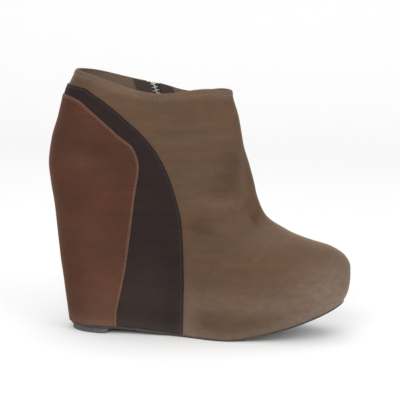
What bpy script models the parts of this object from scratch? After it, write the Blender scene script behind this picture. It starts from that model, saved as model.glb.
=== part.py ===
"""Colour-blocked platform wedge bootie, the right shoe of a pair, as the pieces a shoemaker puts together.

Metres, +Z up.  +X points to the toe and -Y to the outer side of the foot.  The origin lies on the floor
under the middle of the shoe.  The upper is one skin of rings, from its bottom edge to the collar's rim, and
every other piece is worked out from that skin, inside it, outside it or under it.
"""
import math

import bmesh
import bpy
import numpy as np
from mathutils import Matrix, Vector

# Form of the upper
UPPER_LENGTH = 0.2374       # back of the heel to the tip of the toe
COLLAR_BACK = 0.2044        # floor to the rim, at the back
COLLAR_FRONT = 0.1914       # floor to the rim, at the front
OUTER_DIP = 0.0090          # how far the rim sags between back and front
OUTER_DIP_END = 0.90        # share of the rim's length where the outer side's sag ends
INNER_DIP = 0.0043
INNER_DROP = 0.0046         # further sag of the inner side, in front of the zip
INNER_DROP_START = 0.50     # share of the rim's length where it starts
HEEL_HALF_WIDTH = 0.0315
WAIST_HALF_WIDTH = 0.0310
BALL_HALF_WIDTH = 0.0435
TOE_SWING = 0.0040          # how far the tip of the toe lies to the inner side
WALL = 0.0018

# Layers under and in the upper
GAP = 0.0003                # clearance between two pieces that meet
FIT = 0.0010                # clearance between the core and the curved wall round it
LIFT_THICKNESS = 0.0039
LIFT_LENGTH = 0.0307
LIFT_BEVEL = 0.0038
LIFT_INSET = 0.0012
OUTSOLE_THICKNESS = 0.0014
OUTSOLE_LIP = 0.0004
BREAST_LENGTH = 0.0640      # how far the sole comes down from the lift to the floor
BREAST_START = 0.0340       # from the sole's back end
FLAT_END = 0.1220           # where the forefoot's flat spot ends, from the sole's back end
TOE_SPRING = 0.0268
SPRING_POWER = 1.40
HEEL_SEAT = 0.1030          # floor to the footbed, under the heel
PLATFORM = 0.0375           # floor to the footbed, under the ball
TOE_BED_RISE = 0.0035
BED_CUP = 0.0015
INSOLE_THICKNESS = 0.0025

# Panels laid over the upper
HEEL_PANEL_THICKNESS = 0.0017
STRIPE_THICKNESS = 0.0009
PANEL_FOOT = 0.12           # the ring level where both panels start
PANEL_MARGIN = 0.0240       # how far the cut of their outline runs past the shoe

# Zip on the inner side
ZIP_HEAD_X = -0.0408        # where the zip meets the rim
ZIP_FOOT_X = -0.0030
ZIP_FOOT_Z = 0.1050
SLOT_WIDTH = 0.0094
SLOT_REACH = 0.0054         # how far the cut runs to both sides of the skin
TAPE_WIDTH = 0.0280
TAPE_THICKNESS = 0.0009
TAPE_HEAD_DROP = 0.0012     # from the rim to the top of the tape
TAPE_TAIL = 0.0060          # how far the tape runs on past the slot
CHAIN_WIDTH = 0.0050
CHAIN_PROUD = 0.0005
TOOTH_COUNT = 30
TOOTH_RISE = 0.0005
SLIDER_DROP = 0.0095        # from the rim to the middle of the slider
SLIDER_LENGTH = 0.0110
SLIDER_HEAD_WIDTH = 0.0088
SLIDER_TAIL_WIDTH = 0.0066
SLIDER_THICKNESS = 0.0018
BAIL_WIDTH = 0.0022
BAIL_BORE = 0.0017          # radius inside the arch
BAIL_METAL = 0.0010
PULL_THICKNESS = 0.0010
PULL_LENGTH = 0.0240
PULL_EYE_WIDTH = 0.0056
PULL_NECK_WIDTH = 0.0042
PULL_TIP_WIDTH = 0.0062
PULL_WINDOW_WIDTH = 0.0030
PULL_WINDOW_LENGTH = 0.0042

# Fineness of the faceted solids
AROUND = 42                 # corners in a ring, an even number
STEPS_A_ROW = 2             # rings for each row of the table
ACROSS = 4                  # strips across a sole
CORE_STEPS = 8
EDGE_STEPS = 2              # corners of a panel's edge for each row of its table
SLOT_ROWS = 13
TAPE_ROWS = 14
TAPE_COLUMNS = 7
LIFT_STEPS = 16
ARCH_STEPS = 10
TIP_STEPS = 8
HALVINGS = 40
SKIN_STEP = 0.002           # pace in level and in radians at which the skin's slope is read
LINE_STEP = 0.0005          # pace along the zip's line

# One row for each ring, from the bottom edge to the rim.  back and front are where the ring starts and
# ends, as shares of UPPER_LENGTH, and the rises are shares of the height from the bottom edge to the rim.
# heel, waist and ball are shares of the half widths.  round_back and round_front are the shares of the
# ring taken by its rounded ends.  swing is a share of TOE_SWING, follow says how much the ring copies the
# sole's curve, and dip is a share of the rim's sag.
RING_COLUMNS = ("back", "back_rise", "front", "front_rise", "heel", "waist_out", "waist_in", "ball_out",
                "ball_in", "round_back", "round_front", "swing", "follow", "dip")
RINGS = np.array((
    (0.0790, 0.000, 0.9815, 0.000, 0.780, 0.840, 0.680, 0.928, 0.852, 0.125, 0.280, 1.00, 1.00, 0.00),
    (0.0753, 0.028, 0.9950, 0.038, 0.803, 0.870, 0.710, 0.964, 0.886, 0.125, 0.280, 1.00, 0.95, 0.00),
    (0.0658, 0.098, 1.0015, 0.104, 0.835, 0.905, 0.760, 1.005, 0.926, 0.127, 0.280, 1.00, 0.85, 0.00),
    (0.0559, 0.174, 1.0000, 0.160, 0.867, 0.935, 0.806, 1.020, 0.948, 0.130, 0.280, 1.00, 0.65, 0.00),
    (0.0458, 0.244, 0.9831, 0.209, 0.895, 0.968, 0.855, 1.004, 0.941, 0.135, 0.285, 1.00, 0.42, 0.00),
    (0.0396, 0.304, 0.9406, 0.250, 0.921, 0.994, 0.903, 0.950, 0.901, 0.145, 0.300, 0.95, 0.20, 0.00),
    (0.0323, 0.369, 0.8644, 0.282, 0.946, 1.010, 0.945, 0.868, 0.832, 0.155, 0.330, 0.80, 0.05, 0.00),
    (0.0254, 0.430, 0.7754, 0.334, 0.968, 1.010, 0.968, 0.775, 0.751, 0.165, 0.360, 0.60, 0.00, 0.00),
    (0.0177, 0.490, 0.7095, 0.403, 0.984, 1.000, 0.977, 0.694, 0.677, 0.175, 0.370, 0.45, 0.00, 0.00),
    (0.0067, 0.560, 0.6839, 0.479, 1.000, 0.990, 0.974, 0.617, 0.628, 0.185, 0.345, 0.35, 0.00, 0.00),
    (0.0000, 0.631, 0.6592, 0.596, 1.000, 0.974, 0.961, 0.566, 0.577, 0.195, 0.325, 0.25, 0.00, 0.00),
    (0.0081, 0.727, 0.6305, 0.743, 0.978, 0.948, 0.942, 0.524, 0.534, 0.200, 0.310, 0.15, 0.00, 0.12),
    (0.0270, 0.812, 0.6110, 0.877, 0.927, 0.916, 0.916, 0.501, 0.511, 0.205, 0.300, 0.10, 0.00, 0.40),
    (0.0450, 0.914, 0.5926, 0.957, 0.870, 0.884, 0.884, 0.488, 0.497, 0.212, 0.300, 0.05, 0.00, 0.75),
    (0.0750, 1.000, 0.5854, 1.000, 0.825, 0.871, 0.871, 0.494, 0.501, 0.215, 0.300, 0.00, 0.00, 1.00),
))
RIM = len(RINGS) - 1
HEEL_AT = 0.20              # where along a ring its widths are read
WAIST_AT = 0.35
BALL_OUT_AT = 0.57
BALL_IN_AT = 0.72

# Height of the footbed between platform and heel seat, against shares of the upper's length.
BED = np.array((
    (0.00, 1.020), (0.14, 1.000), (0.24, 0.915), (0.34, 0.725), (0.45, 0.450), (0.56, 0.195),
    (0.65, 0.055), (0.75, 0.000), (1.00, 0.000),
))

# Edges of the panels seen from the side, from the sole up and round to the back: shares of the upper's
# length from its back, and of the collar's back height.
HEEL_EDGE = np.array((
    (0.233, -0.046), (0.232, 0.071), (0.242, 0.151), (0.258, 0.255), (0.272, 0.401), (0.283, 0.547),
    (0.292, 0.639), (0.275, 0.711), (0.215, 0.773), (0.132, 0.855), (0.091, 0.891), (0.047, 0.903),
    (-0.063, 0.903),
))
STRIPE_EDGE = np.array((
    (0.451, -0.042), (0.449, 0.108), (0.449, 0.178), (0.444, 0.322), (0.434, 0.443), (0.406, 0.558),
    (0.385, 0.620), (0.359, 0.677), (0.328, 0.728), (0.286, 0.780), (0.197, 0.868), (0.144, 0.911),
    (0.106, 0.935), (0.061, 0.940), (-0.063, 0.939),
))

PROUD_BACK = GAP + HEEL_PANEL_THICKNESS
BACK_X = -(UPPER_LENGTH - PROUD_BACK) / 2
EDGE_BACK_X = BACK_X + UPPER_LENGTH * RINGS[0, 0]
TREAD_TO_EDGE = OUTSOLE_THICKNESS + GAP

# Colours are linear, with roughness and metallic value
SUEDE_TAUPE = ("suede_taupe", (0.175, 0.108, 0.072), 0.95, 0.0)
SUEDE_RUST = ("suede_rust", (0.125, 0.052, 0.030), 0.95, 0.0)
SUEDE_DARK = ("suede_dark", (0.040, 0.025, 0.021), 0.95, 0.0)
CORE_FOAM = ("core_foam", (0.30, 0.24, 0.17), 0.8, 0.0)
INSOLE_LEATHER = ("insole_leather", (0.28, 0.20, 0.13), 0.6, 0.0)
SOLE_RUBBER = ("sole_rubber", (0.035, 0.033, 0.033), 0.7, 0.0)
LIFT_RUBBER = ("lift_rubber", (0.062, 0.067, 0.067), 0.6, 0.0)
TAPE_CLOTH = ("tape_cloth", (0.030, 0.026, 0.024), 0.9, 0.0)
ZIP_METAL = ("zip_metal", (0.60, 0.60, 0.58), 0.3, 1.0)


def smooth(stations, values, at):
    """Smooth curve through the values that never overshoots them, held level past its ends."""
    run = np.diff(stations)
    rise = np.diff(values) / run
    same_way = rise[:-1] * rise[1:] > 0
    total = np.where(same_way, rise[:-1] + rise[1:], 1.0)
    slope = np.concatenate(([rise[0]], np.where(same_way, 2 * rise[:-1] * rise[1:] / total, 0), [rise[-1]]))
    at = np.clip(at, stations[0], stations[-1])
    left = np.clip(np.searchsorted(stations, at, side="right") - 1, 0, len(run) - 1)
    t = (at - stations[left]) / run[left]
    return (values[left] * (2 * t**3 - 3 * t**2 + 1) + values[left + 1] * (3 * t**2 - 2 * t**3)
            + run[left] * (slope[left] * (t**3 - 2 * t**2 + t) + slope[left + 1] * (t**3 - t**2)))


def ease(t):
    """0 up to t = 0 and 1 from t = 1, with a soft rise between."""
    t = np.clip(t, 0, 1)
    return t * t * (3 - 2 * t)


def tread_height(x):
    """Floor to the underside of the outsole."""
    along = x - EDGE_BACK_X
    over_lift = (LIFT_THICKNESS + GAP) * (1 - ease((along - BREAST_START) / BREAST_LENGTH))
    spring_length = UPPER_LENGTH * RINGS[0, 2] + BACK_X - EDGE_BACK_X - FLAT_END
    return over_lift + TOE_SPRING * (np.maximum(along - FLAT_END, 0) / spring_length) ** SPRING_POWER


def edge_height(x):
    """Floor to the upper's bottom edge."""
    return tread_height(x) + TREAD_TO_EDGE


def bed_height(x):
    """Floor to the footbed on top of the core, along its middle."""
    share = (x - BACK_X) / UPPER_LENGTH
    toe_rise = TOE_BED_RISE * np.maximum(share - BED[-2, 0], 0) / (1 - BED[-2, 0])
    return PLATFORM + (HEEL_SEAT - PLATFORM) * smooth(BED[:, 0], BED[:, 1], share) + toe_rise


def ring_value(name, level):
    """A column of the table of rings, read at any level."""
    return smooth(np.arange(RIM + 1.0), RINGS[:, RING_COLUMNS.index(name)], level)


def rounded(t):
    """Quarter of an ellipse: 0 at t = 0 and 1 from t = 1."""
    return np.sqrt(1 - (1 - np.clip(t, 0, 1)) ** 2)


def half_width(level, share, outer):
    """Half the width of a ring on its outer or inner side, before its ends are rounded off."""
    heel = HEEL_HALF_WIDTH * ring_value("heel", level)
    waist = np.where(outer, ring_value("waist_out", level), ring_value("waist_in", level)) * WAIST_HALF_WIDTH
    ball = np.where(outer, ring_value("ball_out", level), ring_value("ball_in", level)) * BALL_HALF_WIDTH
    ball_at = np.where(outer, BALL_OUT_AT, BALL_IN_AT)
    to_waist = ease((share - HEEL_AT) / (WAIST_AT - HEEL_AT))
    to_ball = ease((share - WAIST_AT) / (ball_at - WAIST_AT))
    return heel + (waist - heel) * to_waist + (ball - waist) * to_ball


def rim_sag(share, outer):
    """How far the rim hangs under the straight line from its back to its front."""
    outer_turn = np.where(share < 0.5, share, 0.5 + 0.5 * (share - 0.5) / (OUTER_DIP_END - 0.5))
    drop_turn = np.clip((share - INNER_DROP_START) / (1 - INNER_DROP_START), 0, 1)
    outer_sag = OUTER_DIP * np.sin(math.pi * np.minimum(outer_turn, 1)) ** 2
    inner_sag = INNER_DIP * np.sin(math.pi * share) ** 2 + INNER_DROP * np.sin(math.pi * drop_turn) ** 2
    return np.where(outer, outer_sag, inner_sag)


def skin(level, angle):
    """Point on the outside of the upper.  Angle 0 is the back, a quarter turn the outer side, pi the toe."""
    level, angle = np.broadcast_arrays(np.asarray(level, float), np.asarray(angle, float))
    share = (1 - np.cos(angle)) / 2
    outer = np.sin(angle) >= 0
    start = BACK_X + UPPER_LENGTH * ring_value("back", level)
    end = BACK_X + UPPER_LENGTH * ring_value("front", level)
    x = start + (end - start) * share
    heel_edge = edge_height(EDGE_BACK_X)
    toe_edge = edge_height(BACK_X + UPPER_LENGTH * RINGS[0, 2])
    back_z = heel_edge + (COLLAR_BACK - heel_edge) * ring_value("back_rise", level)
    front_z = toe_edge + (COLLAR_FRONT - toe_edge) * ring_value("front_rise", level)
    chord = edge_height(start) + (edge_height(end) - edge_height(start)) * share
    sag = ring_value("dip", level) * rim_sag(share, outer)
    z = back_z + (front_z - back_z) * share + ring_value("follow", level) * (edge_height(x) - chord) - sag
    ends = rounded(share / ring_value("round_back", level))
    ends = ends * rounded((1 - share) / ring_value("round_front", level))
    middle = TOE_SWING * ring_value("swing", level) * share**2
    y = middle + np.where(outer, -1, 1) * half_width(level, share, outer) * ends
    return np.stack((x, y, z), axis=-1)


def skin_normal(level, angle):
    """Direction straight out of the skin."""
    round_it = skin(level, angle + SKIN_STEP) - skin(level, angle - SKIN_STEP)
    up_it = skin(np.minimum(level + SKIN_STEP, RIM), angle) - skin(np.maximum(level - SKIN_STEP, 0), angle)
    normal = np.cross(round_it, up_it)
    return normal / np.linalg.norm(normal, axis=-1, keepdims=True)


def off_skin(level, angle, proud):
    """Point at a distance outside the skin, or inside it where proud is negative."""
    level, angle = np.broadcast_arrays(np.asarray(level, float), np.asarray(angle, float))
    return skin(level, angle) + np.asarray(proud)[..., None] * skin_normal(level, angle)


def level_where(test, shape):
    """The level at which the test turns true, by halving, one for each place in shape."""
    low = np.zeros(shape)
    high = np.full(shape, float(RIM))
    for _ in range(HALVINGS):
        middle = (low + high) / 2
        above = test(middle)
        high = np.where(above, middle, high)
        low = np.where(above, low, middle)
    return (low + high) / 2


def ring_angles():
    return np.arange(AROUND) * 2 * math.pi / AROUND


def add_object(name, mesh, material, collection):
    """Object with its own plain material."""
    if material:
        label, colour, roughness, metallic = material
        surface = bpy.data.materials.new(label)
        surface.use_nodes = True
        shader = surface.node_tree.nodes["Principled BSDF"]
        shader.inputs["Base Color"].default_value = (*colour, 1)
        shader.inputs["Roughness"].default_value = roughness
        shader.inputs["Metallic"].default_value = metallic
        surface.diffuse_color = (*colour, 1)
        mesh.materials.append(surface)
    made = bpy.data.objects.new(name, mesh)
    collection.objects.link(made)
    return made


def add_cutter(name, mesh, collection):
    """Helper that a Boolean reads, shown as a wire and left out of renders."""
    made = add_object(name, mesh, None, collection)
    made.hide_render = True
    made.display_type = "WIRE"
    return made


def finish_mesh(name, shape, turn_out=True):
    """Mesh of a finished bmesh, smooth but for its sharp edges."""
    if turn_out:
        bmesh.ops.recalc_face_normals(shape, faces=shape.faces)
    mesh = bpy.data.meshes.new(name)
    shape.to_mesh(mesh)
    shape.free()
    mesh.shade_smooth()
    mesh.set_sharp_from_angle(angle=math.radians(40))
    return mesh


def add_ring(shape, points):
    return [shape.verts.new(point) for point in points]


def join_rings(shape, lower, upper):
    """Wall of quads between two closed rings."""
    for i in range(len(lower)):
        j = (i + 1) % len(lower)
        shape.faces.new((lower[i], lower[j], upper[j], upper[i]))


def close_ring(shape, ring, height):
    """Cap of ribs between both sides of a ring, at a height worked out from x and the place across."""
    half = len(ring) // 2
    ribs = [[ring[0]]]
    for i in range(1, half):
        left = ring[i]
        right = ring[-i]
        rib = [left]
        for k in range(1, ACROSS):
            point = left.co.lerp(right.co, k / ACROSS)
            point.z = height(point.x, 2 * k / ACROSS - 1)
            rib.append(shape.verts.new(point))
        rib.append(right)
        ribs.append(rib)
    ribs.append([ring[half]])
    for first, second in zip(ribs, ribs[1:]):
        for k in range(ACROSS):
            a = first[min(k, len(first) - 1)]
            b = first[min(k + 1, len(first) - 1)]
            c = second[min(k + 1, len(second) - 1)]
            d = second[min(k, len(second) - 1)]
            shape.faces.new(dict.fromkeys((a, b, c, d)))


def skin_surface(name, levels, proud):
    """Open tube of the skin at a distance from it, for Solidify to thicken."""
    shape = bmesh.new()
    rings = [add_ring(shape, off_skin(level, ring_angles(), np.full(AROUND, proud))) for level in levels]
    for lower, upper in zip(rings, rings[1:]):
        join_rings(shape, lower, upper)
    return finish_mesh(name, shape, turn_out=False)


def thicken(piece, thickness, outwards):
    """Wall on one side of an open surface."""
    wall = piece.modifiers.new("wall", "SOLIDIFY")
    wall.thickness = thickness
    wall.offset = 1 if outwards else -1
    wall.use_even_offset = True


def cut(piece, cutter, operation):
    change = piece.modifiers.new(cutter.name, "BOOLEAN")
    change.operation = operation
    change.object = cutter
    change.solver = "EXACT"


def slab(name, outer, inner):
    """Closed solid between two grids of points."""
    shape = bmesh.new()
    rows, columns = outer.shape[:2]
    top = [add_ring(shape, row) for row in outer]
    bottom = [add_ring(shape, row) for row in inner]
    for i in range(rows - 1):
        for j in range(columns - 1):
            for grid in (top, bottom):
                shape.faces.new((grid[i][j], grid[i][j + 1], grid[i + 1][j + 1], grid[i + 1][j]))
        for j in (0, columns - 1):
            shape.faces.new((top[i][j], top[i + 1][j], bottom[i + 1][j], bottom[i][j]))
    for j in range(columns - 1):
        for i in (0, rows - 1):
            shape.faces.new((top[i][j], top[i][j + 1], bottom[i][j + 1], bottom[i][j]))
    return finish_mesh(name, shape)


def prism(name, outline, depth):
    """Flat outline in X and Y, thickened to both sides of Z = 0."""
    shape = bmesh.new()
    face = shape.faces.new(add_ring(shape, [(x, y, -depth / 2) for x, y in outline]))
    grown = bmesh.ops.extrude_face_region(shape, geom=[face])["geom"]
    moved = [item for item in grown if isinstance(item, bmesh.types.BMVert)]
    bmesh.ops.translate(shape, verts=moved, vec=(0, 0, depth))
    mesh = finish_mesh(name, shape)
    mesh.shade_flat()
    return mesh


def inside_ring(height):
    """Ring where the core's side meets a height, as levels for each angle."""
    angles = ring_angles()
    inset = np.full(AROUND, -WALL - FIT)

    def too_high(level):
        point = off_skin(level, angles, inset)
        return point[:, 2] > height(point[:, 0])

    levels = level_where(too_high, AROUND)
    points = off_skin(levels, angles, inset)
    points[:, 2] = height(points[:, 0])
    return levels, points


def cupped(height):
    """Height across a footbed that is a little lower in its middle."""
    return lambda x, across: float(height(x)) - BED_CUP * (1 - across**2)


def make_upper(parts, cutters):
    levels = np.linspace(0, RIM, RIM * STEPS_A_ROW + 1)
    upper = add_object("upper", skin_surface("upper", levels, 0.0), SUEDE_TAUPE, parts)
    thicken(upper, WALL, outwards=False)
    runs = np.linspace(-SLOT_WIDTH, zip_length(), SLOT_ROWS)
    acrosses = np.array((-SLOT_WIDTH / 2, SLOT_WIDTH / 2))
    slot = slab("zip_slot", zip_grid(runs, acrosses, SLOT_REACH), zip_grid(runs, acrosses, -SLOT_REACH))
    cut(upper, add_cutter("zip_slot", slot, cutters), "DIFFERENCE")


def make_wedge(parts):
    """Core under the foot: the platform in front and the wedge behind in one piece."""
    angles = ring_angles()
    inset = np.full(AROUND, -WALL - FIT)
    top_levels, top_points = inside_ring(bed_height)
    shape = bmesh.new()
    rings = []
    for step in range(CORE_STEPS):
        points = off_skin(top_levels * step / CORE_STEPS, angles, inset)
        if step == 0:
            points[:, 2] = edge_height(points[:, 0])
        rings.append(add_ring(shape, points))
    rings.append(add_ring(shape, top_points))
    for lower, upper in zip(rings, rings[1:]):
        join_rings(shape, lower, upper)
    close_ring(shape, rings[0], lambda x, across: float(edge_height(x)))
    close_ring(shape, rings[-1], cupped(bed_height))
    add_object("wedge", finish_mesh("wedge", shape), CORE_FOAM, parts)


def make_insole(parts):
    def under(x):
        return bed_height(x) + GAP

    def over(x):
        return under(x) + INSOLE_THICKNESS

    shape = bmesh.new()
    lower = add_ring(shape, inside_ring(under)[1])
    upper = add_ring(shape, inside_ring(over)[1])
    join_rings(shape, lower, upper)
    close_ring(shape, lower, cupped(under))
    close_ring(shape, upper, cupped(over))
    add_object("insole", finish_mesh("insole", shape), INSOLE_LEATHER, parts)


def make_outsole(parts):
    outline = off_skin(0.0, ring_angles(), np.full(AROUND, OUTSOLE_LIP))
    shape = bmesh.new()
    rings = []
    for rise in (0, OUTSOLE_THICKNESS):
        points = outline.copy()
        points[:, 2] = tread_height(outline[:, 0]) + rise
        rings.append(add_ring(shape, points))
    join_rings(shape, *rings)
    close_ring(shape, rings[0], lambda x, across: float(tread_height(x)))
    close_ring(shape, rings[1], lambda x, across: float(tread_height(x)) + OUTSOLE_THICKNESS)
    add_object("outsole", finish_mesh("outsole", shape), SOLE_RUBBER, parts)


def make_top_lift(parts):
    """Flat rubber block under the heel, its front edge cut back towards the floor."""
    front_x = EDGE_BACK_X + LIFT_LENGTH
    sole_length = UPPER_LENGTH * (RINGS[0, 2] - RINGS[0, 0])
    widest = math.acos(1 - 2 * LIFT_LENGTH / sole_length)
    angles = widest * np.linspace(-1, 1, LIFT_STEPS + 1)
    outline = off_skin(0.0, angles, np.full(LIFT_STEPS + 1, -LIFT_INSET))
    shape = bmesh.new()
    rings = []
    for height, cut_back in ((0, LIFT_BEVEL), (LIFT_THICKNESS, 0)):
        points = outline.copy()
        points[:, 0] = np.minimum(points[:, 0], front_x - cut_back)
        points[[0, -1], 0] = front_x - cut_back
        points[:, 2] = height
        rings.append(add_ring(shape, points))
    join_rings(shape, *rings)
    for ring in rings:
        shape.faces.new(ring)
    add_object("top_lift", finish_mesh("top_lift", shape), LIFT_RUBBER, parts)


def edge_curve(rows, shift=0.0):
    """Panel edge as points in X and Z, moved to its front or upper side by shift."""
    stations = np.arange(len(rows), dtype=float)
    fine = np.linspace(0, len(rows) - 1, (len(rows) - 1) * EDGE_STEPS + 1)
    x = BACK_X + UPPER_LENGTH * smooth(stations, rows[:, 0], fine)
    z = COLLAR_BACK * smooth(stations, rows[:, 1], fine)
    along = np.stack((np.gradient(x), np.gradient(z)), axis=1)
    along /= np.linalg.norm(along, axis=1, keepdims=True)
    return np.stack((x + shift * along[:, 1], z - shift * along[:, 0]), axis=1)


def make_panel(name, outline, thickness, material, parts, cutters):
    """Piece of a thin skin over the upper, cut from both sides by one outline seen from the side."""
    levels = np.linspace(PANEL_FOOT, RIM, RIM * STEPS_A_ROW + 1)
    panel = add_object(name, skin_surface(name, levels, GAP), material, parts)
    thicken(panel, thickness, outwards=True)
    cutter = add_cutter(f"{name}_outline", prism(f"{name}_outline", outline, 4 * HEEL_HALF_WIDTH), cutters)
    cutter.rotation_euler = (math.pi / 2, 0, 0)
    cut(panel, cutter, "INTERSECT")


def make_panels(parts, cutters):
    behind = BACK_X - PANEL_MARGIN
    below = -PANEL_MARGIN
    heel_edge = edge_curve(HEEL_EDGE)
    corner = [(behind, heel_edge[-1, 1]), (behind, below), (heel_edge[0, 0], below)]
    heel_outline = [tuple(point) for point in heel_edge] + corner
    make_panel("heel_panel", heel_outline, HEEL_PANEL_THICKNESS, SUEDE_RUST, parts, cutters)
    front = [tuple(point) for point in edge_curve(STRIPE_EDGE)]
    rear = [tuple(point) for point in edge_curve(HEEL_EDGE, shift=GAP)[::-1]]
    make_panel("stripe_panel", front + rear, STRIPE_THICKNESS, SUEDE_DARK, parts, cutters)


def zip_line(run):
    """Level and angle of the zip's middle line at a distance down from the rim."""
    run = np.asarray(run, float)
    head_angle = zip_angle(float(RIM), ZIP_HEAD_X)
    head_z = skin(float(RIM), head_angle)[2]
    slope = np.array((ZIP_FOOT_X - ZIP_HEAD_X, ZIP_FOOT_Z - head_z))
    slope = slope / np.linalg.norm(slope)
    x = ZIP_HEAD_X + slope[0] * run
    z = head_z + slope[1] * run
    level = level_where(lambda middle: skin(middle, zip_angle(middle, x))[..., 2] > z, run.shape)
    return level, zip_angle(level, x)


def zip_angle(level, x):
    """Angle of the point at x on a ring's inner side."""
    start = BACK_X + UPPER_LENGTH * ring_value("back", level)
    end = BACK_X + UPPER_LENGTH * ring_value("front", level)
    return 2 * math.pi - np.arccos(1 - 2 * np.clip((x - start) / (end - start), 0, 1))


def zip_length():
    head_z = skin(float(RIM), zip_angle(float(RIM), ZIP_HEAD_X))[2]
    return math.hypot(ZIP_FOOT_X - ZIP_HEAD_X, ZIP_FOOT_Z - head_z)


def zip_frame(run):
    """Point, way down the zip, way across it and way out, at distances from the rim."""
    level, angle = zip_line(run)
    point = skin(level, angle)
    out = skin_normal(level, angle)
    behind = np.maximum(run, LINE_STEP) - LINE_STEP
    down = skin(*zip_line(np.asarray(run) + LINE_STEP)) - skin(*zip_line(behind))
    down = down - np.sum(down * out, axis=-1, keepdims=True) * out
    down = down / np.linalg.norm(down, axis=-1, keepdims=True)
    return point, down, np.cross(out, down), out


def zip_grid(runs, acrosses, proud):
    """Grid of points along the zip, at places across it and at a height over the skin."""
    runs, acrosses = np.meshgrid(runs, acrosses, indexing="ij")
    inside = np.maximum(runs, 0)
    level, angle = zip_line(inside)
    point, down, across, _ = zip_frame(inside)
    swept = skin(level, angle + SKIN_STEP) - skin(level, angle - SKIN_STEP)
    pace = np.sum(swept * across, axis=-1) / (2 * SKIN_STEP)
    grid = off_skin(level, angle + acrosses / pace, np.broadcast_to(proud, runs.shape))
    return grid + (runs - inside)[..., None] * down


def make_zip_band(parts):
    """Cloth tape behind the slot, and the closed chain of teeth in it."""
    inside = -WALL - GAP
    runs = np.linspace(TAPE_HEAD_DROP, zip_length() + TAPE_TAIL, TAPE_ROWS)
    acrosses = np.linspace(-TAPE_WIDTH / 2, TAPE_WIDTH / 2, TAPE_COLUMNS)
    outer = zip_grid(runs, acrosses, inside)
    inner = zip_grid(runs, acrosses, inside - TAPE_THICKNESS)
    add_object("zip_tape", slab("zip_tape", outer, inner), TAPE_CLOTH, parts)
    runs = np.linspace(2 * TAPE_HEAD_DROP, zip_length() - TAPE_HEAD_DROP, 2 * TOOTH_COUNT + 1)
    acrosses = np.array((-CHAIN_WIDTH / 2, CHAIN_WIDTH / 2))
    rise = np.where(np.arange(len(runs)) % 2 == 0, CHAIN_PROUD - TOOTH_RISE, CHAIN_PROUD)
    outer = zip_grid(runs, acrosses, rise[:, None])
    inner = zip_grid(runs, acrosses, inside + GAP)
    add_object("zip_teeth", slab("zip_teeth", outer, inner), ZIP_METAL, parts)


def zip_matrix(run, lift):
    """Placement over the zip: local Y runs up along it and local Z out of it."""
    point, down, across, out = zip_frame(np.array(run))
    point = point + lift * out
    turn = Matrix((across, -down, out)).transposed()
    return Matrix.Translation(Vector(point)) @ turn.to_4x4()


def slider_top():
    """Height of the slider's outer face over the skin."""
    return CHAIN_PROUD + GAP + SLIDER_THICKNESS


def make_slider(parts, cutters):
    """Slider body over the chain, with the arch that carries the pull."""
    half = SLIDER_LENGTH / 2
    head = SLIDER_HEAD_WIDTH / 2
    tail = SLIDER_TAIL_WIDTH / 2
    outline = [(-tail, -half), (tail, -half), (tail, -half / 3), (head, half / 2), (head * 0.8, half),
               (-head * 0.8, half), (-head, half / 2), (-tail, -half / 3)]
    slider = add_object("zip_slider", prism("zip_slider", outline, SLIDER_THICKNESS), ZIP_METAL, parts)
    slider.matrix_world = zip_matrix(SLIDER_DROP, slider_top() - SLIDER_THICKNESS / 2)
    bevel = slider.modifiers.new("edges", "BEVEL")
    bevel.width = SLIDER_THICKNESS / 6
    bevel.segments = 2
    foot = -SLIDER_THICKNESS / 3
    turns = np.linspace(0, math.pi, ARCH_STEPS + 1)
    radius = BAIL_BORE + BAIL_METAL
    arch = [(radius, foot)] + [(radius * math.cos(t), radius * math.sin(t)) for t in turns] + [(-radius, foot)]
    arch += [(-BAIL_BORE, foot)]
    arch += [(BAIL_BORE * math.cos(t), BAIL_BORE * math.sin(t)) for t in turns[::-1]]
    arch += [(BAIL_BORE, foot)]
    bail = add_cutter("zip_bail", prism("zip_bail", arch, BAIL_WIDTH), cutters)
    stand = Matrix(((0, 0, 1), (1, 0, 0), (0, 1, 0))).to_4x4()
    bail.matrix_world = zip_matrix(SLIDER_DROP, slider_top()) @ stand
    cut(slider, bail, "UNION")


def make_pull(parts, cutters):
    """Tab with a window whose upper bar turns under the slider's arch."""
    bar = PULL_THICKNESS
    eye = PULL_EYE_WIDTH / 2
    neck = PULL_NECK_WIDTH / 2
    tip = PULL_TIP_WIDTH / 2
    eye_end = bar / 2 - 2 * bar - PULL_WINDOW_LENGTH
    side = [(eye, bar / 2), (eye, eye_end + bar), (neck, eye_end - bar)]
    turns = np.linspace(0, math.pi, TIP_STEPS + 1)
    round_tip = [(tip * math.cos(t), tip - PULL_LENGTH - tip * math.sin(t)) for t in turns]
    outline = side + round_tip + [(-x, y) for x, y in side[::-1]]
    pull = add_object("zip_pull", prism("zip_pull", outline, PULL_THICKNESS), ZIP_METAL, parts)
    pull.matrix_world = zip_matrix(SLIDER_DROP, slider_top() + BAIL_BORE / 2)
    half = PULL_WINDOW_WIDTH / 2
    low = -bar / 2 - PULL_WINDOW_LENGTH
    window = [(-half, low), (half, low), (half, -bar / 2), (-half, -bar / 2)]
    hole = add_cutter("zip_window", prism("zip_window", window, 3 * bar), cutters)
    hole.matrix_world = pull.matrix_world
    cut(pull, hole, "DIFFERENCE")


def main():
    for old in list(bpy.data.objects):
        bpy.data.objects.remove(old)
    parts = bpy.data.collections.new("wedge_shoe")
    cutters = bpy.data.collections.new("cutters")
    bpy.context.scene.collection.children.link(parts)
    bpy.context.scene.collection.children.link(cutters)
    make_upper(parts, cutters)
    make_wedge(parts)
    make_insole(parts)
    make_outsole(parts)
    make_top_lift(parts)
    make_panels(parts, cutters)
    make_zip_band(parts)
    make_slider(parts, cutters)
    make_pull(parts, cutters)


main()
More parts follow.
